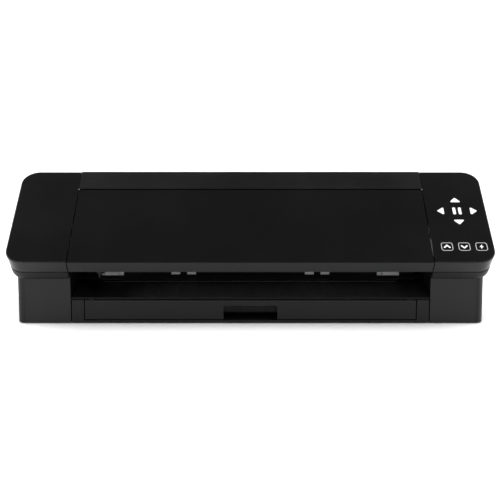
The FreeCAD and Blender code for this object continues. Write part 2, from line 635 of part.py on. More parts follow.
def drawer():
    panel = box("drawer_panel", ("-drawer_half", "drawer_half"), ("body_front", "body_front + 2.8"),
                ("drawer_low", "drawer_high"))
    recess = doc.addObject("PartDesign::Body", "recess")
    sketch = sketch_on(recess, "recess_outline", "XY_Plane", "-body_front - 4")
    polygon(sketch, [("-recess_half", "0"), ("recess_half", "0"), ("recess_half", "recess_top"),
                     ("-recess_half", "recess_top")])
    pad(recess, sketch, "5")
    fillet(recess, "2.5", lambda middle, edge: abs(abs(middle.x) - size("recess_half")) < 0.01
           and abs(middle.y - size("recess_top")) < 0.01)
    recess.Placement = Placement(Vector(), Rotation(Vector(1, 0, 0), 90))
    face = cut("drawer_face", panel, [recess])
    grip = bar("grip", [("body_front + 3.4", "recess_top - 1.4"), ("body_front + 5.4", "recess_top - 1.4"),
                        ("body_front + grip_reach + 2", "grip_low"),
                        ("body_front + grip_reach", "grip_low")], "recess_half")
    ends = [box(f"grip_end_{side}", low_high, ("body_front + 2.8", "body_front + grip_reach + 2"),
                ("drawer_low", "recess_top + 2"))
            for side, low_high in (("left", ("-recess_half - 2", "-recess_half")),
                                   ("right", ("recess_half", "recess_half + 2")))]
    node(fuse("drawer_front_solid", [face, grip] + ends), "drawer_front")

    front, inner = "body_front + 2.8", "drawer_half - 5.5"
    floor = box("tray_floor", (f"-({inner})", inner), (front, "drawer_back"),
                ("tray_low", "tray_low + 1.6"))
    notch = box("tray_notch", ("-recess_half - 2.5", "recess_half + 2.5"),
                ("body_front", "body_front + notch_depth"), ("tray_low - 1", "tray_low + 3"))
    wall = ("tray_low", "21")
    left = box("tray_left", (f"-({inner}) - 2", f"-({inner})"), (front, "drawer_back"), wall)
    right = box("tray_right", (inner, f"{inner} + 2"), (front, "drawer_back"), wall)
    rear = box("tray_rear", (f"-({inner})", inner), ("drawer_back - 2", "drawer_back"), wall)
    flanges = [box(f"tray_flange_{side}", (low, high), (front, "drawer_back"), ("11.2", "13"))
               for side, low, high in (("left", "-194.8", "-193"), ("right", "193", "194.8"))]
    shell = fuse("tray_shell", [floor, left, right, rear] + flanges)
    axles = [rod(f"axle_hole_{y}", ("-200", y, "feeder_z + 2"), "1.56", "400", ALONG_X)
             for y in (-38, 8)]
    node(cut("tray_cut_out", shell, [notch] + axles), "drawer_tray")
    for y, label in ((-38, "front_feeder_roller"), (8, "rear_feeder_roller")):
        steps = [("-192.6", "-189.5", "1.5"), ("-189.5", "189.5", "feeder_radius"),
                 ("189.5", "192.6", "1.5")]
        node(turned(f"feeder_{abs(y)}", steps, ("0", y, "feeder_z + 2")), label)
    rails = []
    for side, low, high in (("left", "-196.6", "-193.3"), ("right", "193.3", "196.6")):
        foot = box(f"rail_foot_{side}", (low, high), ("body_front + 5", "60"), ("floor_top", "10.8"))
        rails.append(foot)
    node(fuse("rails", rails), "drawer_rails")


# ---------------------------------------------------------------- electronics and rear fittings

def electronics():
    board = box("board", ("232", "233.6"), ("-45", "75"), ("14", "74"))
    parts = [box("chip_large", ("229.6", "232"), ("-10", "8"), ("40", "58")),
             box("chip_small", ("230.4", "232"), ("20", "30"), ("46", "56")),
             box("driver_left", ("230", "232"), ("-36", "-28"), ("24", "32")),
             box("driver_right", ("230", "232"), ("-36", "-28"), ("40", "48")),
             box("header_low", ("226", "232"), ("30", "60"), ("18", "24")),
             box("header_high", ("226", "232"), ("-40", "-20"), ("62", "68"))]
    cans = [rod(f"capacitor_{y}", ("222", y, "28"), "4", "10", ALONG_X) for y in (4, 16)]
    posts = [box(f"post_{y}", ("231", "234.6"), (y, y + 5), ("floor_top", "14")) for y in (-40, 65)]
    node(fuse("board_solid", [board] + parts + cans + posts), "main_board")

    plate = box("touch_plate", ("225", "276"), ("12", "128"), ("-5", "-3.6"))
    seats = [box(f"touch_seat_{x}", (x, x + 6), ("20", "120"), ("-3.6", "-panel_wall"))
             for x in (227, 268)]
    node(tilt(fuse("touch_solid", [plate] + seats)), "touch_board")

    jack = rod("jack_body", ("238", "78", "24"), "6", "back_y - body_wall - 78", ALONG_Y)
    bore = rod("jack_bore", ("238", "82", "24"), "3.2", "20", ALONG_Y)
    pin = rod("jack_pin", ("238", "80", "24"), "1", "6", ALONG_Y)
    node(fuse("jack", [cut("jack_cut", jack, [bore]), pin]), "power_inlet")
    port = box("port_body", ("250", "266"), ("78", "back_y - body_wall"), ("16.5", "31.5"))
    mouth = box("port_mouth", ("252", "264"), ("84", "100"), ("18.5", "29.5"))
    tongue = box("port_tongue", ("254.5", "261.5"), ("83", "90"), ("21.5", "26.5"))
    node(fuse("port", [cut("port_cut", port, [mouth]), tongue]), "data_port")

    node(rod("button", ("248", "88.5", "62"), "7", "8.7", ALONG_Y), "power_button")
    switch = box("switch", ("240", "256"), ("72", "86.5"), ("54", "70"))
    bridge = [box(f"switch_post_{x}", (x, x + 3), ("74", "95"), ("56", "68")) for x in (237, 256)]
    node(fuse("switch_solid", [switch] + bridge), "power_switch")


def cross_cutter():
    node(box("cross_rail", ("-182", "182"), ("90", "93"), ("56", "62")), "crosscutter_rail")
    points = [("93.4", "54"), ("97.3", "54"), ("97.3", "67"), ("90.4", "67"), ("90.4", "62.4"),
              ("93.4", "62.4")]
    slider = prism("cross_slider", points, "158", "172")
    hook = box("cross_hook", ("158", "172"), ("90.4", "94"), ("53.4", "55.6"))
    node(fuse("cross_slider_solid", [slider, hook]), "crosscutter_slider")
    node(prism("cross_blade", [("91", "46"), ("93", "43"), ("93.4", "53.4"), ("91", "53.4")],
               "164.7", "165.3"), "crosscutter_blade")


for build in (top_panels, side_covers, sliding_lid, rear_band, lid_slides, base, fascia, side_frames,
              rear_cover, media_path, feed_drive, pinch_drive, carriage_group, belt_drive, drawer,
              electronics, cross_cutter):
    build()

doc.recompute()
failed = [thing.Name for thing in doc.Objects if {"Invalid", "Error"} & set(thing.State)]
if failed:
    raise RuntimeError("failed objects: " + ", ".join(failed))
for thing in NODES:
    if thing.Shape.isNull() or not thing.Shape.isValid() or not thing.Shape.Solids:
        raise RuntimeError("bad shape: " + thing.Label)

os.makedirs("parts", exist_ok=True)
for thing in NODES:
    thing.Shape.exportStep(f"parts/{thing.Label}.step")
    bounds = thing.Shape.BoundBox
    print(f"{thing.Label:24s} {len(thing.Shape.Solids)} solids {thing.Shape.Volume / 1000:9.2f} cm3 "
          f"X {bounds.XMin:.1f} {bounds.XMax:.1f} Y {bounds.YMin:.1f} {bounds.YMax:.1f} "
          f"Z {bounds.ZMin:.1f} {bounds.ZMax:.1f}")
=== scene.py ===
import json
import math

import bmesh
import bpy
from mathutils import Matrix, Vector


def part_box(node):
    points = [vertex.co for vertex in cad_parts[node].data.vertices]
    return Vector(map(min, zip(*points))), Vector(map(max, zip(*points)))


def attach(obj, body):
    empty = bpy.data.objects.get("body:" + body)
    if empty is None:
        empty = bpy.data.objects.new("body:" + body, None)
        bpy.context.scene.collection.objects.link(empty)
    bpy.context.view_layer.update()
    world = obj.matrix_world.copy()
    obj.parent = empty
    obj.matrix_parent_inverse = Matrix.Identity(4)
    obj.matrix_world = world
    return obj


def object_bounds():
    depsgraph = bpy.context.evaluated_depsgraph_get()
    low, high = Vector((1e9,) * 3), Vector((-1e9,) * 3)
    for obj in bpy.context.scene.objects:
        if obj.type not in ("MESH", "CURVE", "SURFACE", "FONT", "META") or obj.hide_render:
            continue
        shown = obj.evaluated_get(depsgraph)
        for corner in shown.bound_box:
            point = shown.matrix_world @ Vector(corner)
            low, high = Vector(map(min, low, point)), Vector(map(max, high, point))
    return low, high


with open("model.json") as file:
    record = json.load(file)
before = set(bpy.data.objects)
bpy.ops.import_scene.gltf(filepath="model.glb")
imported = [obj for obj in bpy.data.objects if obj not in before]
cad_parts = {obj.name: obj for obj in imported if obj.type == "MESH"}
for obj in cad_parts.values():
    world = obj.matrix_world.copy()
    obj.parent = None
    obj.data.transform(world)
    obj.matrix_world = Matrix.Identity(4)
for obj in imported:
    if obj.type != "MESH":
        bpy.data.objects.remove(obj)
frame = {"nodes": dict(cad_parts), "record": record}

CAD_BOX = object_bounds()
NODES = frame["nodes"]

# ---------------------------------------------------------------- the frame of the sloping top

panel_low, panel_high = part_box("touch_panel")
UPWARD = 0.5  # the least height of an upward face's normal


def top_plane():
    """A point on the touch panel's upper face and the face's normal, from its largest faces."""
    mesh = NODES["touch_panel"].data
    best = max((face for face in mesh.polygons if face.normal.z > UPWARD), key=lambda face: face.area)
    return best.center.copy(), best.normal.copy()


plane_point, plane_normal = top_plane()
UP_SLOPE = Vector((0, plane_normal.z, -plane_normal.y)).normalized()
CREASE_Y = CAD_BOX[0][1]
CREASE_Z = plane_point.z + (plane_point.y - CREASE_Y) * plane_normal.y / plane_normal.z
SLOPE_LENGTH = (CAD_BOX[1][2] - CREASE_Z) / UP_SLOPE.z


def on_top(x, along, height):
    """A point of the sloping top: across the machine, up the slope from the crease, and out of it."""
    return Vector((x, CREASE_Y, CREASE_Z)) + UP_SLOPE * along + plane_normal * height


# ---------------------------------------------------------------- materials

EDGE_SAMPLES = 4
# How closely a normal rounded over the edges agrees with the face's own, on an edge and off it.
ON_EDGE_DOT, EVEN_DOT = 0.85, 0.995


class Shader:
    """A short way to build a procedural material: it keeps the node tree and links by value."""

    def __init__(self, name):
        self.material = bpy.data.materials.new(name)
        self.material.use_nodes = True
        self.tree = self.material.node_tree
        self.tree.nodes.clear()
        self.output = self.add("ShaderNodeOutputMaterial")
        self.surface = self.add("ShaderNodeBsdfPrincipled")
        self.link(self.surface.outputs[0], self.output.inputs["Surface"])
        self.place = self.add("ShaderNodeTexCoord").outputs["Object"]

    def add(self, kind, **settings):
        node = self.tree.nodes.new(kind)
        for key, value in settings.items():
            setattr(node, key, value)
        return node

    def link(self, source, target):
        self.tree.links.new(source, target)

    def stretched(self, scale):
        mapping = self.add("ShaderNodeMapping")
        self.link(self.place, mapping.inputs["Vector"])
        mapping.inputs["Scale"].default_value = scale
        return mapping.outputs[0]

    def noise(self, scale, detail=2.0, rough=0.5, place=None):
        node = self.add("ShaderNodeTexNoise")
        node.inputs["Scale"].default_value = scale
        node.inputs["Detail"].default_value = detail
        node.inputs["Roughness"].default_value = rough
        self.link(place or self.place, node.inputs["Vector"])
        return node.outputs["Fac"]

    def cells(self, scale):
        node = self.add("ShaderNodeTexVoronoi")
        node.inputs["Scale"].default_value = scale
        self.link(self.place, node.inputs["Vector"])
        return node.outputs["Distance"]

    def span(self, value, low, high, start=0.3, end=0.7):
        """Maps start..end, where most of a noise lies, to low..high."""
        node = self.add("ShaderNodeMapRange")
        self.link(value, node.inputs["Value"])
        for key, number in (("From Min", start), ("From Max", end), ("To Min", low), ("To Max", high)):
            node.inputs[key].default_value = number
        return node.outputs[0]

    def maths(self, operation, first, second):
        node = self.add("ShaderNodeMath", operation=operation)
        for socket, value in zip(node.inputs, (first, second)):
            if isinstance(value, (int, float)):
                socket.default_value = value
            else:
                self.link(value, socket)
        return node.outputs[0]

    def mix(self, factor, first, second):
        node = self.add("ShaderNodeMix", data_type="RGBA")
        self.link(factor, node.inputs["Factor"])
        for socket, colour in ((node.inputs["A"], first), (node.inputs["B"], second)):
            if isinstance(colour, tuple):
                socket.default_value = (*colour, 1)
            else:
                self.link(colour, socket)
        return node.outputs["Result"]

    def bump(self, height, strength, distance, after=None):
        node = self.add("ShaderNodeBump")
        node.inputs["Strength"].default_value = strength
        node.inputs["Distance"].default_value = distance
        self.link(height, node.inputs["Height"])
        if after is not None:
            self.link(after, node.inputs["Normal"])
        return node.outputs[0]

    def edges(self, radius):
        """1 close to a sharp edge and 0 elsewhere, for the polish that edges get from hands and for a painted
        highlight on edges.
        """
        bevel = self.add("ShaderNodeBevel", samples=EDGE_SAMPLES)
        bevel.inputs["Radius"].default_value = radius
        normal = self.add("ShaderNodeNewGeometry").outputs["Normal"]
        dot = self.add("ShaderNodeVectorMath", operation="DOT_PRODUCT")
        self.link(bevel.outputs[0], dot.inputs[0])
        self.link(normal, dot.inputs[1])
        return self.span(dot.outputs["Value"], low=1.0, high=0.0, start=ON_EDGE_DOT, end=EVEN_DOT)

    def set(self, **values):
        for key, value in values.items():
            socket = self.surface.inputs[key.replace("_", " ")]
            if isinstance(value, (int, float)):
                socket.default_value = value
            elif isinstance(value, tuple):
                socket.default_value = (*value, 1) if len(value) == 3 else value
            else:
                self.link(value, socket)
        return self.material


def gloss_plastic(name, colour, low, high, wave=0.05, shine=0.36):
    """Polished moulded plastic: a very shallow waviness, faint smears where hands touch it, and
    fine wiping scratches that run mostly across the machine."""
    shade = Shader(name)
    smear = shade.noise(scale=9, detail=5, rough=0.6)
    fine = shade.noise(scale=420, detail=3, rough=0.6)
    wiped = shade.noise(scale=1, detail=4, rough=0.75, place=shade.stretched((30, 900, 900)))
    scratch = shade.span(wiped, low=0.0, high=1.0, start=0.62, end=0.7)
    rough = shade.span(smear, low=low, high=high)
    rough = shade.maths("ADD", rough, shade.span(fine, low=0.0, high=0.03))
    rough = shade.maths("ADD", rough, shade.maths("MULTIPLY", scratch, 0.05))
    tone = shade.mix(smear, colour, tuple(part * 1.25 for part in colour))
    peel = shade.bump(shade.noise(scale=160, detail=1), strength=wave, distance=0.0002)
    edge_wear_and_highlight = shade.edges(radius=0.0006)
    rough = shade.maths("ADD", rough, shade.maths("MULTIPLY", edge_wear_and_highlight, 0.08))
    return shade.set(Base_Color=tone, Roughness=rough, Normal=peel, Specular_IOR_Level=shine)


def two_tone_tool(name, upper, lower, split):
    """The cutting tool's barrel: a coloured cap above a height, and a dark barrel below it."""
    shade = Shader(name)
    height = shade.add("ShaderNodeSeparateXYZ")
    shade.link(shade.place, height.inputs[0])
    blur = 0.0001
    above = shade.span(height.outputs["Z"], low=0.0, high=1.0, start=split - blur, end=split + blur)
    fine = shade.noise(scale=1300, detail=3)
    patch = shade.noise(scale=60, detail=3)
    tone = shade.mix(above, lower, upper)
    tone = shade.mix(shade.span(patch, low=0.0, high=0.1), tone, (0.03, 0.03, 0.033))
    rough = shade.maths("ADD", shade.span(fine, low=0.24, high=0.34), shade.span(patch, low=0.0, high=0.06))
    bump = shade.bump(fine, strength=0.12, distance=0.0001)
    return shade.set(Base_Color=tone, Roughness=rough, Normal=bump, Specular_IOR_Level=0.2)


def grained_plastic(name, colour, low, high, grain=1400, depth=0.25, shine=0.3):
    """Moulded plastic with a fine eroded grain, smoother on rubbed edges, which are also a little lighter in
    colour: partly wear, partly a painted highlight.
    """
    shade = Shader(name)
    fine = shade.noise(scale=grain, detail=4, rough=0.65)
    pits = shade.cells(scale=grain * 0.8)
    patch = shade.noise(scale=14, detail=4, rough=0.55)
    edge_wear_and_highlight = shade.edges(radius=0.0007)
    rough = shade.maths("ADD", shade.span(patch, low=low, high=high), shade.span(fine, low=-0.04, high=0.05))
    rough = shade.maths("SUBTRACT", rough, shade.maths("MULTIPLY", edge_wear_and_highlight, 0.08))
    dusted = tuple(part * 1.3 + 0.0005 for part in colour)
    dusty = shade.mix(shade.span(patch, low=0.0, high=1.0), colour, dusted)
    # Edges a little lighter in colour: partly wear, partly a painted highlight along the sharp edges.
    tone = shade.mix(edge_wear_and_highlight, dusty, tuple(part * 1.8 + 0.003 for part in colour))
    bump = shade.bump(fine, strength=depth, distance=0.00012)
    bump = shade.bump(pits, strength=depth * 0.5, distance=0.0001, after=bump)
    return shade.set(Base_Color=tone, Roughness=rough, Normal=bump, Specular_IOR_Level=shine)


def brushed_metal(name, colour, low, high, along=(8, 900, 900), metallic=1.0):
    """Ground or brushed metal, with fine lines along one axis and a faint cloudiness."""
    shade = Shader(name)
    lines = shade.noise(scale=1, detail=6, rough=0.7, place=shade.stretched(along))
    cloud = shade.noise(scale=35, detail=4, rough=0.6)
    rough = shade.maths("ADD", shade.span(lines, low=low, high=high), shade.span(cloud, low=-0.03, high=0.05))
    dark = tuple(part * 0.82 for part in colour)
    tone = shade.mix(shade.span(cloud, low=0.0, high=1.0), dark, colour)
    bump = shade.bump(lines, strength=0.12, distance=0.00005)
    return shade.set(Base_Color=tone, Roughness=rough, Normal=bump, Metallic=metallic)


def soft_rubber(name, colour, grain=900, depth=0.35):
    """Rubber: matte, with a fine tooth and paler scuffs."""
    shade = Shader(name)
    fine = shade.noise(scale=grain, detail=5, rough=0.7)
    scuff = shade.noise(scale=70, detail=5, rough=0.65)
    tone = shade.mix(shade.span(scuff, low=0.0, high=1.0, start=0.45, end=0.8), colour,
                     tuple(part * 1.35 + 0.004 for part in colour))
    rough = shade.maths("ADD", shade.span(scuff, low=0.62, high=0.8), shade.span(fine, low=-0.05, high=0.05))
    bump = shade.bump(fine, strength=depth, distance=0.0001)
    return shade.set(Base_Color=tone, Roughness=rough, Normal=bump, Specular_IOR_Level=0.35)


def circuit_board(name):
    """Green solder mask over copper: broad pours, fine tracks, and the glass weave showing through."""
    shade = Shader(name)
    wave = shade.add("ShaderNodeTexWave", bands_direction="DIAGONAL")
    wave.inputs["Scale"].default_value = 160
    wave.inputs["Distortion"].default_value = 6
    wave.inputs["Detail"].default_value = 1
    shade.link(shade.place, wave.inputs["Vector"])
    tracks = shade.span(wave.outputs["Fac"], low=0.0, high=1.0, start=0.46, end=0.54)
    pour = shade.span(shade.cells(scale=90), low=0.0, high=1.0, start=0.35, end=0.4)
    copper = shade.maths("MAXIMUM", tracks, pour)
    tone = shade.mix(copper, (0.006, 0.05, 0.018), (0.015, 0.11, 0.04))
    weave = shade.noise(scale=1500, detail=2)
    rough = shade.span(weave, low=0.28, high=0.4)
    bump = shade.bump(copper, strength=0.4, distance=0.00006)
    return shade.set(Base_Color=tone, Roughness=rough, Normal=bump)


def gritted_shaft(name):
    """The feed shaft: ground steel with hard grit bonded to it."""
    shade = Shader(name)
    grit = shade.cells(scale=2600)
    cloud = shade.noise(scale=60, detail=3)
    bare, gritty = (0.42, 0.42, 0.43), (0.16, 0.16, 0.165)
    tone = shade.mix(shade.span(grit, low=0.0, high=1.0, start=0.1, end=0.5), bare, gritty)
    rough = shade.span(grit, low=0.5, high=0.3, start=0.1, end=0.6)
    rough = shade.maths("ADD", rough, shade.span(cloud, low=0.0, high=0.08))
    bump = shade.bump(grit, strength=0.6, distance=0.00015)
    return shade.set(Base_Color=tone, Roughness=rough, Metallic=0.9, Normal=bump)


def printed_ink(name, colour):
    """Screen-printed ink: slightly uneven, flatter than the gloss it sits on."""
    shade = Shader(name)
    fine = shade.noise(scale=900, detail=3)
    tone = shade.mix(shade.span(fine, low=0.0, high=1.0), tuple(part * 0.9 for part in colour), colour)
    return shade.set(Base_Color=tone, Roughness=shade.span(fine, low=0.35, high=0.5),
                     Normal=shade.bump(fine, strength=0.15, distance=0.00003))


def toothed_belt(name):
    """Black belt rubber with its teeth as ridges along the run."""
    shade = Shader(name)
    wave = shade.add("ShaderNodeTexWave", bands_direction="X", wave_profile="SIN")
    wave.inputs["Scale"].default_value = 157
    shade.link(shade.place, wave.inputs["Vector"])
    fine = shade.noise(scale=1200, detail=3)
    tone = shade.mix(shade.span(fine, low=0.0, high=1.0), (0.012, 0.012, 0.012), (0.03, 0.03, 0.031))
    return shade.set(Base_Color=tone, Roughness=shade.span(fine, low=0.55, high=0.75),
                     Normal=shade.bump(wave.outputs["Fac"], strength=0.8, distance=0.0006))


# Low and high bound each finish's roughness.
MATERIALS = {
    "gloss_black": gloss_plastic("gloss_black", (0.0026, 0.0026, 0.0027),
                                 low=0.10, high=0.16, shine=0.3),
    "band_black": gloss_plastic("band_black", (0.0030, 0.0030, 0.0031),
                                low=0.18, high=0.25, wave=0.08, shine=0.24),
    "satin_black": grained_plastic("satin_black", (0.0036, 0.0036, 0.0037),
                                   low=0.36, high=0.46, shine=0.21),
    # bay_black and black_steel are darker copies of the black plastic: painted shade for the parts inside the
    # dim opening.
    "bay_black": grained_plastic("bay_black", (0.0008, 0.0008, 0.0009),
                                 low=0.62, high=0.74, shine=0.03),
    "steel": brushed_metal("steel", (0.50, 0.50, 0.51), low=0.22, high=0.4),
    "black_steel": grained_plastic("black_steel", (0.0018, 0.0018, 0.0018),
                                   low=0.5, high=0.62, grain=500, depth=0.4, shine=0.08),
    "rail_aluminium": brushed_metal("rail_aluminium", (0.56, 0.57, 0.58),
                                    low=0.3, high=0.42, along=(6, 1200, 1200)),
    "roller_grey": soft_rubber("roller_grey", (0.20, 0.20, 0.203)),
    "grit_steel": gritted_shaft("grit_steel"),
    "gear_white": grained_plastic("gear_white", (0.62, 0.60, 0.54),
                                  low=0.32, high=0.42, grain=1100, depth=0.15),
    "carriage_white": grained_plastic("carriage_white", (0.035, 0.035, 0.037), low=0.34, high=0.44),
    "holder_grey": grained_plastic("holder_grey", (0.10, 0.10, 0.105), low=0.34, high=0.44),
    "tool_blue": grained_plastic("tool_blue", (0.02, 0.07, 0.17),
                                 low=0.25, high=0.35, grain=1100, depth=0.12, shine=0.5),
    "blade_steel": brushed_metal("blade_steel", (0.68, 0.68, 0.69),
                                 low=0.1, high=0.2, along=(900, 900, 12)),
    "strip_grey": grained_plastic("strip_grey", (0.02, 0.02, 0.0195),
                                  low=0.5, high=0.6, grain=900, depth=0.2, shine=0.2),
    "belt_black": toothed_belt("belt_black"),
    "foot_rubber": soft_rubber("foot_rubber", (0.016, 0.016, 0.016)),
    "board_green": circuit_board("board_green"),
    "connector_black": grained_plastic("connector_black", (0.009, 0.009, 0.009),
                                       low=0.3, high=0.4, grain=1000, depth=0.15),
    "screw_steel": brushed_metal("screw_steel", (0.55, 0.55, 0.56),
                                 low=0.18, high=0.3, along=(900, 900, 60)),
}

# Finishes of single parts: painted seam shade, painted shade on the shelf and the low front, and the cutting
# tool.
# A dull near-black material, painted shade for the seams round the lid.
PAINTED_SEAM_SHADE = grained_plastic("painted_seam_shade", (0.0006, 0.0006, 0.0006),
                       low=0.7, high=0.85, grain=900, depth=0.3, shine=0.02)
TOOL_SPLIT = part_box("tool_holder_1")[1][2]
# The shelf is a darker copy of the satin plastic: painted shade for the dim opening.
SHADED_SHELF = grained_plastic("shelf_painted_shade", (0.0016, 0.0016, 0.0016), low=0.42, high=0.52, shine=0.08)
# The low front (fascia and drawer) is a darker, less shiny copy of the satin plastic: painted shade across
# the front.
SHADED_FRONT = grained_plastic("front_painted_shade", (0.0030, 0.0030, 0.0031), low=0.36, high=0.46, shine=0.16)
TOOL_BARREL = two_tone_tool("tool_barrel", (0.02, 0.07, 0.17), (0.003, 0.003, 0.0032), TOOL_SPLIT)
OWN_FINISH = {"blade_tool": TOOL_BARREL, "media_shelf": SHADED_SHELF, "front_fascia": SHADED_FRONT, "drawer_front": SHADED_FRONT}


def paint_frame():
    """Every CAD node gets the finished material of its slot in the record, or a finish of its own."""
    for entry in frame["record"]["subparts"]:
        thing = NODES[entry["node"]]
        material = OWN_FINISH.get(entry["node"], MATERIALS[entry["material_slot"]])
        for slot in thing.material_slots:
            slot.material = material


# How closely a face's normal agrees with the top's: flat on it above the first, tilted down to the second.
FLAT_DOT = 0.999
TILTED_DOT = 0.9


def shade_lid_edge():
    """The lid's tongue, which slides under the rear band, gets the near-black painted seam shade on its
    tilted faces.
    """
    lid = NODES["sliding_lid"]
    lid.data.materials.append(PAINTED_SEAM_SHADE)
    shade_slot = len(lid.data.materials) - 1
    edge_along = max((lid.matrix_world @ face.center - on_top(0, 0, 0)).dot(UP_SLOPE)
                     for face in lid.data.polygons if face.normal.dot(plane_normal) > FLAT_DOT)
    # The tongue's tilted faces take the near-black painted shade.
    for face in lid.data.polygons:
        tilted = TILTED_DOT < face.normal.dot(plane_normal) < FLAT_DOT
        if tilted and (lid.matrix_world @ face.center - on_top(0, 0, 0)).dot(UP_SLOPE) > edge_along:
            face.material_index = shade_slot


# The width of the softened edges of each node, in metres.
SOFT_EDGES = {
    "right_side_cover": 0.0003, "left_side_cover": 0.0003, "front_fascia": 0.0003,
    "drawer_front": 0.0003, "media_shelf": 0.0002, "rear_cover": 0.0005, "power_button": 0.0008,
    "rubber_feet": 0.0006, "carriage": 0.0005, "tool_holder_1": 0.0006, "tool_holder_2": 0.0006,
    "tool_lock_1": 0.0005, "tool_lock_2": 0.0005, "crosscutter_slider": 0.0005,
    "data_port": 0.0003, "power_inlet": 0.0003,
}


WELD_REACH = 0.00001
SHARP_ANGLE = math.radians(35)


def round_edges(name, width, segments=2):
    """Softens a CAD node's sharp edges with modifiers, so that they catch the light."""
    thing = NODES[name]
    weld = thing.modifiers.new("weld", "WELD")
    weld.merge_threshold = WELD_REACH
    bevel = thing.modifiers.new("soft_edges", "BEVEL")
    bevel.width = width
    bevel.segments = segments
    bevel.limit_method = "ANGLE"
    bevel.angle_limit = SHARP_ANGLE
    bevel.harden_normals = True
    bevel.use_clamp_overlap = True


# ---------------------------------------------------------------- pieces made here

def solid_piece(name, build, material, body):
    """Makes one mesh object out of what build adds to an empty mesh."""
    mesh = bpy.data.meshes.new(name)
    work = bmesh.new()
    build(work)
    bmesh.ops.recalc_face_normals(work, faces=work.faces)
    work.to_mesh(mesh)
    work.free()
    thing = bpy.data.objects.new(name, mesh)
    bpy.context.collection.objects.link(thing)
    mesh.materials.append(material)
    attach(thing, body)
    return thing


# ---------------------------------------------------------------- printed marks on the touch panel

INK = printed_ink("mark_ink", (0.78, 0.78, 0.79))
INK_THIN = printed_ink("outline_ink", (0.36, 0.36, 0.37))
INK_LIFT = 0.00003
INK_THICK = 0.00006
CORNER_STEPS = 5


def rounded(points, radius):
    """The outline of a polygon with its corners rounded off."""
    outline = []
    count = len(points)
    for index, corner in enumerate(points):
        corner = Vector(corner)
        before = (Vector(points[index - 1]) - corner).normalized()
        after = (Vector(points[(index + 1) % count]) - corner).normalized()
        half = math.acos(max(-1, min(1, before.dot(after)))) / 2
        reach = radius / math.tan(half)
        centre = corner + (before + after).normalized() * (radius / math.sin(half))
        start = corner + before * reach - centre
        end = corner + after * reach - centre
        for step in range(CORNER_STEPS + 1):
            part = step / CORNER_STEPS
            outline.append(centre + start.lerp(end, part).normalized() * radius)
    return outline


def printed(name, rings, material):
    """A thin printed shape.  Each ring is an outline, or an (outer, inner) pair for a hollow one."""
    def build(work):
        for ring in rings:
            hollow = isinstance(ring, tuple)
            loops = ring if hollow else (ring,)
            low = [[work.verts.new(on_top(p.x, p.y, INK_LIFT)) for p in loop] for loop in loops]
            high = [[work.verts.new(on_top(p.x, p.y, INK_LIFT + INK_THICK)) for p in loop] for loop in loops]
            count = len(low[0])
            if hollow:
                for i in range(count):
                    j = (i + 1) % count
                    work.faces.new((high[0][i], high[0][j], high[1][j], high[1][i]))
                    work.faces.new((low[0][j], low[0][i], low[1][i], low[1][j]))
                    work.faces.new((high[1][i], high[1][j], low[1][j], low[1][i]))
            else:
                work.faces.new(high[0])
                work.faces.new(list(reversed(low[0])))
            for i in range(count):
                j = (i + 1) % count
                work.faces.new((low[0][i], low[0][j], high[0][j], high[0][i]))
    return solid_piece(name, build, material, "case")


MITRE_LEAST = 0.4


def stroke(points, width):
    """A line of constant width through some points, with mitred corners."""
    half = width / 2
    left, right = [], []
    for index, point in enumerate(points):
        point = Vector(point)
        ahead = Vector(points[min(index + 1, len(points) - 1)])
        behind = Vector(points[max(index - 1, 0)])
        along = (ahead - behind).normalized()
        side = Vector((-along.y, along.x))
        if 0 < index < len(points) - 1:
            first = (point - behind).normalized()
            side = side / max(MITRE_LEAST, side.dot(Vector((-first.y, first.x))))
        left.append(point + side * half)
        right.append(point - side * half)
    return left + list(reversed(right))


PAD_ASIDE = 0.0010
PAD_PART, KEY_PART = 0.545, 0.16
PAD_X = (panel_low[0] + panel_high[0]) / 2 + PAD_ASIDE
PAD_ALONG = SLOPE_LENGTH * PAD_PART
ARROW_REACH = 0.0199
KEY_ALONG = SLOPE_LENGTH * KEY_PART
KEY_PITCH = 0.0202
KEY_SIZE = 0.0138
KEY_ROUND = 0.0032
KEY_LINE = 0.0009
ARROW_SHAPE = ((-0.0071, -0.0039), (0.0071, -0.0039), (0.0, 0.0045))
ARROW_ROUND = 0.0011
BAR_OFFSET = 0.0034
BAR_HALF_WIDTH = 0.0018
BAR_HALF_HEIGHT = 0.0062
BAR_ROUND = 0.0015
BOLT_SHAPE = ((0.0011, 0.0040), (-0.0025, -0.0005), (-0.0004, -0.0005),
              (-0.0011, -0.0040), (0.0025, 0.0006), (0.0004, 0.0006))
CHEVRON_SHAPE = ((-0.0036, -0.0018), (0, 0.0022), (0.0036, -0.0018))
CHEVRON_LINE = 0.0018


def arc_band(radius, width, start, end, steps=28):
    """A curved band between two angles in degrees."""
    outline = []
    for step in range(steps + 1):
        angle = math.radians(start + (end - start) * step / steps)
        outline.append(((radius + width / 2) * math.cos(angle), (radius + width / 2) * math.sin(angle)))
    for step in range(steps, -1, -1):
        angle = math.radians(start + (end - start) * step / steps)
        outline.append(((radius - width / 2) * math.cos(angle), (radius - width / 2) * math.sin(angle)))
    return outline


def turn(point, quarter):
    """The point turned anticlockwise by a number of quarter turns."""
    x, y = point
    for _ in range(quarter):
        x, y = -y, x
    return x, y


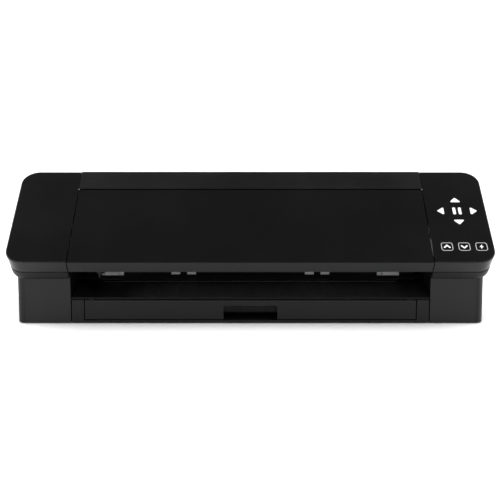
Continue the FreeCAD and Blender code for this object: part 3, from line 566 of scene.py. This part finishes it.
def touch_marks():
    """Four arrows round a pause sign, and a row of three outlined keys below them."""
    for quarter, name in enumerate(("up", "left", "down", "right")):
        centre = Vector((PAD_X, PAD_ALONG)) + Vector(turn((0, ARROW_REACH), quarter))
        points = [centre + Vector(turn(point, quarter)) for point in ARROW_SHAPE]
        printed("arrow_" + name, [rounded(points, ARROW_ROUND)], INK)
    bars = []
    for side in (-1, 1):
        left, right = (PAD_X + side * BAR_OFFSET + half for half in (-BAR_HALF_WIDTH, BAR_HALF_WIDTH))
        low, high = PAD_ALONG - BAR_HALF_HEIGHT, PAD_ALONG + BAR_HALF_HEIGHT
        bars.append(rounded([(left, low), (right, low), (right, high), (left, high)], BAR_ROUND))
    printed("pause_mark", bars, INK)
    for index, name in enumerate(("load", "unload", "spark")):
        centre = Vector((PAD_X + (index - 1) * KEY_PITCH, KEY_ALONG))
        half = KEY_SIZE / 2
        square = [(-half, -half), (half, -half), (half, half), (-half, half)]
        outer = rounded([centre + Vector(p) for p in square], KEY_ROUND)
        shrink = 1 - KEY_LINE / half
        inner = rounded([centre + Vector(p) * shrink for p in square], KEY_ROUND - KEY_LINE)
        printed("key_outline_" + name, [(outer, inner)], INK_THIN)
        if name == "spark":
            printed("spark_mark", [[centre + Vector(point) for point in BOLT_SHAPE]], INK)
        else:
            sign = 1 if name == "load" else -1
            chevron = [centre + Vector((x, y * sign)) for x, y in CHEVRON_SHAPE]
            printed("chevron_" + name, [stroke(chevron, CHEVRON_LINE)], INK)


# ---------------------------------------------------------------- screws, signs and marks

def lathe(work, profile, axis_point, axis, steps=24):
    """Spins (radius, height) pairs about an axis and returns the rings of vertices."""
    swing = Vector((0, 0, 1)).rotation_difference(axis).to_matrix()
    rings = []
    for radius, height in profile:
        ring = []
        for step in range(steps):
            angle = 2 * math.pi * step / steps
            local = Vector((radius * math.cos(angle), radius * math.sin(angle), height))
            ring.append(work.verts.new(axis_point + swing @ local))
        rings.append(ring)
    for low, high in zip(rings, rings[1:]):
        for step in range(steps):
            after = (step + 1) % steps
            work.faces.new((low[step], low[after], high[after], high[step]))
    work.faces.new(list(reversed(rings[0])))
    work.faces.new(rings[-1])
    return rings


HEAD_RISE = 0.55
HEAD_SEAT = 0.0001
SHANK_DEPTH = 0.0012
HEAD_PROFILE = ((1, 0.35), (0.86, 0.75), (0.6, 0.95), (0.2, 1))
RECESS_LONG = 1.15
RECESS_WIDE = 0.24
RECESS_DEEP = 0.9
CRISP_ANGLE = math.radians(32)


def pan_screw(name, place, axis, radius):
    """A pan-head screw with a cross recess, its shank left in the wall behind it."""
    rise = radius * HEAD_RISE
    profile = [(radius * 0.5, -SHANK_DEPTH), (radius, -HEAD_SEAT)]
    profile += [(radius * wide, rise * high) for wide, high in HEAD_PROFILE]
    head = solid_piece(name, lambda work: lathe(work, profile, place, axis), MATERIALS["screw_steel"],
                       "case")
    swing = Vector((0, 0, 1)).rotation_difference(axis).to_matrix()
    mesh = bpy.data.meshes.new(name + "_recess")
    work = bmesh.new()
    for quarter in (0, 1):
        block = bmesh.ops.create_cube(work, size=1)["verts"]
        wide, thin = radius * RECESS_LONG, radius * RECESS_WIDE
        size = (wide, thin) if quarter == 0 else (thin, wide)
        for vert in block:
            depth = rise + vert.co.z * rise * RECESS_DEEP
            vert.co = place + swing @ Vector((vert.co.x * size[0], vert.co.y * size[1], depth))
    work.to_mesh(mesh)
    work.free()
    cutter = bpy.data.objects.new(name + "_recess", mesh)
    bpy.context.collection.objects.link(cutter)
    recess = head.modifiers.new("recess", "BOOLEAN")
    recess.operation = "DIFFERENCE"
    recess.solver = "EXACT"
    recess.use_self = True
    recess.object = cutter
    bpy.context.view_layer.update()
    shape = bpy.data.meshes.new_from_object(head.evaluated_get(bpy.context.evaluated_depsgraph_get()))
    head.modifiers.clear()
    head.data = shape
    bpy.data.objects.remove(cutter)
    for face in shape.polygons:
        face.use_smooth = True
    smooth = head.modifiers.new("crisp", "EDGE_SPLIT")
    smooth.split_angle = CRISP_ANGLE


SCREW_RADIUS = 0.0029
SCREW_LOW = 0.012
SCREW_HIGH = 0.072
SCREW_ASIDE = 0.014
COVER_SPOTS = (-0.92, -0.3, 0.3, 0.92)


def rear_screws():
    """Screws that hold the rear cover and the side covers, on their upright lower faces."""
    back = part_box("rear_cover")[1][1]
    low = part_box("rear_cover")[0][2]
    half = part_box("rear_cover")[1][0]
    pod = (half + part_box("right_side_cover")[1][0]) / 2
    spots = [(half * part, low + SCREW_LOW) for part in COVER_SPOTS]
    spots += [(-pod, low + SCREW_LOW), (-pod, low + SCREW_HIGH), (pod + SCREW_ASIDE, low + SCREW_HIGH)]
    for index, (x, z) in enumerate(spots):
        pan_screw(f"rear_screw_{index + 1}", Vector((x, back, z)), Vector((0, 1, 0)), SCREW_RADIUS)


# Near-black strips sunk into the seams between the rear band and the top panels: painted shade.
SEAM_SHADE_SHORT = 0.0015
SEAM_SHADE_TOP = -0.0012
SEAM_SHADE_LOW = -0.0019


def paint_seam_shade():
    """A dull black strip of painted shade fills the seam between the rear band and each top panel."""
    band_low, band_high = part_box("rear_band")
    left_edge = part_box("left_top_panel")[1][0]
    start = (band_low[1] - CREASE_Y) / UP_SLOPE.y + SEAM_SHADE_SHORT
    end = SLOPE_LENGTH - SEAM_SHADE_SHORT
    for name, inner, outer in (("left", left_edge, band_low[0]), ("right", band_high[0], panel_low[0])):
        def build(work, inner=inner, outer=outer):
            for vert in bmesh.ops.create_cube(work, size=1)["verts"]:
                x = inner if vert.co.x < 0 else outer
                along = start if vert.co.y < 0 else end
                vert.co = on_top(x, along, SEAM_SHADE_LOW if vert.co.z < 0 else SEAM_SHADE_TOP)
        solid_piece("seam_shade_strip_" + name, build, PAINTED_SEAM_SHADE, "case")


def flat_sign(name, outlines, place, across, up, out, material, body):
    """A printed sign on a flat face: closed outlines in its plane, raised by the ink's thickness."""
    def build(work):
        for outline in outlines:
            low = [work.verts.new(place + across * p[0] + up * p[1] + out * INK_LIFT) for p in outline]
            high = [work.verts.new(vert.co + out * INK_THICK) for vert in low]
            work.faces.new(high)
            work.faces.new(list(reversed(low)))
            for index in range(len(low)):
                after = (index + 1) % len(low)
                work.faces.new((low[index], low[after], high[after], high[index]))
    return solid_piece(name, build, material, body)


def bar_outline(x, y, width, height):
    """The outline of an upright bar with its middle at (x, y)."""
    return [(x - width / 2, y - height / 2), (x + width / 2, y - height / 2),
            (x + width / 2, y + height / 2), (x - width / 2, y + height / 2)]


POWER_SIGN_RISE, CURRENT_SIGN_RISE, DATA_SIGN_RISE = 0.0075, 0.0060, 0.0050
POWER_RADIUS, POWER_LINE = 0.0026, 0.0006
POWER_ARC = (125, 415)  # degrees
POWER_BAR_MIDDLE, POWER_BAR_LONG = 0.0019, 0.0030
CURRENT_LINE, CURRENT_LONG, CURRENT_APART = 0.0005, 0.0058, 0.0007
DASH_LONG, DASH_PITCH = 0.0014, 0.0022
ARROW_OUTLINE = ((-0.0036, 0.0009), (-0.0036, 0.0004), (0.0014, 0.0004), (0.0014, -0.0002),
                 (0.0036, 0.00065), (0.0014, 0.0015), (0.0014, 0.0009))
BACK_ARROW_DROP = 0.0002


def rear_signs():
    """Generic signs beside the sockets and the button: power, direct current and a data arrow."""
    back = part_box("right_side_cover")[1][1]
    across, up, out = Vector((-1, 0, 0)), Vector((0, 0, 1)), Vector((0, 1, 0))
    button_low, button_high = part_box("power_button")
    inlet_low, inlet_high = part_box("power_inlet")
    port_low, port_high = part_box("data_port")
    power = Vector(((button_low[0] + button_high[0]) / 2, back,
                    button_high[2] + POWER_SIGN_RISE))
    ring = arc_band(POWER_RADIUS, POWER_LINE, *POWER_ARC)
    stem = bar_outline(0, POWER_BAR_MIDDLE, POWER_LINE, POWER_BAR_LONG)
    flat_sign("power_sign", [ring, stem], power, across, up, out, INK_THIN, "case")
    current = Vector(((inlet_low[0] + inlet_high[0]) / 2, back,
                      inlet_high[2] + CURRENT_SIGN_RISE))
    bars = [bar_outline(0, CURRENT_APART, CURRENT_LONG, CURRENT_LINE)]
    bars += [bar_outline(DASH_PITCH * k, -CURRENT_APART, DASH_LONG, CURRENT_LINE) for k in (-1, 0, 1)]
    flat_sign("current_sign", bars, current, across, up, out, INK_THIN, "case")
    data = Vector(((port_low[0] + port_high[0]) / 2, back,
                   port_high[2] + DATA_SIGN_RISE))
    back_arrow = [(-x, -y - BACK_ARROW_DROP) for x, y in ARROW_OUTLINE]
    flat_sign("data_sign", [ARROW_OUTLINE, back_arrow], data, across, up, out, INK_THIN, "case")


DOT_RADIUS = 0.0008
DOT_PITCH = 0.00266
DOT_DROP = 0.0032
DOT_STEPS = 12


def holder_dots():
    """One dot and two dots on the lock sliders tell the two tool holders apart."""
    for number in (1, 2):
        low, high = (Vector(corner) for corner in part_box(f"tool_lock_{number}"))
        middle = (low + high) / 2
        front = Vector((middle.x, low.y, high.z - DOT_DROP))
        angles = [2 * math.pi * step / DOT_STEPS for step in range(DOT_STEPS)]
        centres = [DOT_PITCH * (index - (number - 1) / 2) for index in range(number)]
        dots = [[(centre + DOT_RADIUS * math.cos(angle), DOT_RADIUS * math.sin(angle)) for angle in angles]
                for centre in centres]
        flat_sign(f"holder_dots_{number}", dots, front, Vector((1, 0, 0)), Vector((0, 0, 1)),
                  Vector((0, -1, 0)), INK, f"lock_{number}")


# ---------------------------------------------------------------- stage, lights and camera

FLOOR_SIZE = 14
FLOOR_PLACE = (0, 3.0, 0)
FLOOR_TONES = ((0.91, 0.91, 0.91), (0.93, 0.93, 0.93))


def floor():
    """A plain pale floor, wide enough to run out of sight."""
    bpy.ops.mesh.primitive_plane_add(size=FLOOR_SIZE, location=FLOOR_PLACE)
    plane = bpy.context.object
    plane.name = "studio_floor"
    shade = Shader("floor_paper")
    cloud = shade.noise(scale=3, detail=2)
    tone = shade.mix(cloud, *FLOOR_TONES)
    plane.data.materials.append(shade.set(Base_Color=tone, Roughness=0.9, Specular_IOR_Level=0.1))


# The brightness of the surroundings, from the horizon (0) to the direction of the tilted pole (1).
AIR_STRENGTH = 3.4
AIR_TILT = math.radians(84)
AIR_HORIZON = 0.12
AIR_STOPS = ((0.3, 0.25), (0.62, 0.9), (0.89, 1.0), (0.945, 0.09), (0.966, 0.045), (0.976, 0.030))
AIR_ZENITH = 0.029
BACKDROP = 1.3
# How much of the light is taken away low in front, and over which span of each direction's Y and Z.
FRONT_GLOOM = 0.96
GLOOM_SPAN = (-0.12, -0.45)
GLOOM_LIFT = (0.89, 0.77)


def studio_air():
    """Soft light from all round, with a dim patch overhead that the gloss top mirrors and a dark
    room low in front of the machine.  The backdrop itself is seen as plain white."""
    world = bpy.data.worlds.new("studio")
    bpy.context.scene.world = world
    world.use_nodes = True
    tree = world.node_tree
    tree.nodes.clear()
    link = tree.links.new

    def add(kind, **settings):
        node = tree.nodes.new(kind)
        for key, value in settings.items():
            setattr(node, key, value)
        return node

    def smooth(value, start, end):
        node = add("ShaderNodeMapRange", interpolation_type="SMOOTHSTEP")
        link(value, node.inputs["Value"])
        node.inputs["From Min"].default_value = start
        node.inputs["From Max"].default_value = end
        return node.outputs[0]

    def times(first, second):
        node = add("ShaderNodeMath", operation="MULTIPLY")
        link(first, node.inputs[0])
        if isinstance(second, float):
            node.inputs[1].default_value = second
        else:
            link(second, node.inputs[1])
        return node.outputs[0]

    direction = add("ShaderNodeTexCoord").outputs["Generated"]
    split = add("ShaderNodeSeparateXYZ")
    link(direction, split.inputs[0])
    lift = add("ShaderNodeVectorMath", operation="DOT_PRODUCT")
    link(direction, lift.inputs[0])
    lift.inputs[1].default_value = (0, math.cos(AIR_TILT), math.sin(AIR_TILT))
    ramp = add("ShaderNodeValToRGB")
    link(lift.outputs["Value"], ramp.inputs[0])
    stops = ramp.color_ramp.elements
    stops[0].position = 0.0
    stops[0].color = (AIR_HORIZON, AIR_HORIZON, AIR_HORIZON, 1)
    stops[1].position = 1.0
    stops[1].color = (AIR_ZENITH, AIR_ZENITH, AIR_ZENITH, 1)
    for position, level in AIR_STOPS:
        stop = stops.new(position)
        stop.color = (level, level, level, 1)
    front = smooth(split.outputs["Y"], *GLOOM_SPAN)
    low = smooth(split.outputs["Z"], *GLOOM_LIFT)
    gloom = times(times(front, low), -FRONT_GLOOM)
    keep = add("ShaderNodeMath", operation="ADD")
    link(gloom, keep.inputs[0])
    keep.inputs[1].default_value = 1.0
    soft = add("ShaderNodeBackground")
    link(ramp.outputs[0], soft.inputs["Color"])
    link(times(keep.outputs[0], AIR_STRENGTH), soft.inputs["Strength"])
    white = add("ShaderNodeBackground")
    white.inputs["Color"].default_value = (1, 1, 1, 1)
    white.inputs["Strength"].default_value = BACKDROP
    pick = add("ShaderNodeMixShader")
    link(add("ShaderNodeLightPath").outputs["Is Camera Ray"], pick.inputs[0])
    link(soft.outputs[0], pick.inputs[1])
    link(white.outputs[0], pick.inputs[2])
    link(pick.outputs[0], add("ShaderNodeOutputWorld").inputs["Surface"])


MIDDLE = (0, 0, 0.05)
LEFT_END, RIGHT_END = (-0.25, -0.1, 0.08), (0.25, -0.1, 0.08)
# Name, place, the point it is aimed at, size and power in watts.
LIGHTS = (
    ("key_left", (-1.6, -1.8, 1.7), MIDDLE, (1.6, 1.6), 26),
    ("fill_right", (1.8, -1.6, 1.5), MIDDLE, (1.4, 1.4), 16),
    ("edge_left", (-1.05, -2.5, 0.27), LEFT_END, (0.36, 0.3), 13),
    ("edge_right", (1.05, -2.5, 0.27), RIGHT_END, (0.36, 0.3), 13),
)


def soft_light(name, place, aim, size, power):
    """A rectangular lamp that faces a point."""
    lamp = bpy.data.lights.new(name, "AREA")
    lamp.shape = "RECTANGLE"
    lamp.size, lamp.size_y = size
    lamp.energy = power
    thing = bpy.data.objects.new(name, lamp)
    bpy.context.collection.objects.link(thing)
    thing.location = place
    thing.rotation_euler = (Vector(aim) - Vector(place)).to_track_quat("-Z", "Y").to_euler()


CAMERA_PLACE = (-0.0005, -1.3289, 0.2812)
CAMERA_DOWN = 8.7  # degrees
CAMERA_LENS = 77.9
CAMERA_SENSOR = 36
CAMERA_REACH = 60


def camera():
    """A level camera in front of the machine, tipped down a little."""
    data = bpy.data.cameras.new("camera")
    data.sensor_width = CAMERA_SENSOR
    data.lens = CAMERA_LENS
    thing = bpy.data.objects.new("camera", data)
    bpy.context.collection.objects.link(thing)
    thing.location = CAMERA_PLACE
    thing.rotation_euler = (math.radians(90 - CAMERA_DOWN), 0, 0)
    data.clip_end = CAMERA_REACH
    bpy.context.scene.camera = thing


paint_frame()
shade_lid_edge()
for name, width in SOFT_EDGES.items():
    round_edges(name, width)
touch_marks()
rear_screws()
rear_signs()
holder_dots()
paint_seam_shade()
floor()
studio_air()
for light in LIGHTS:
    soft_light(*light)
camera()
bpy.context.scene.view_settings.view_transform = "Standard"
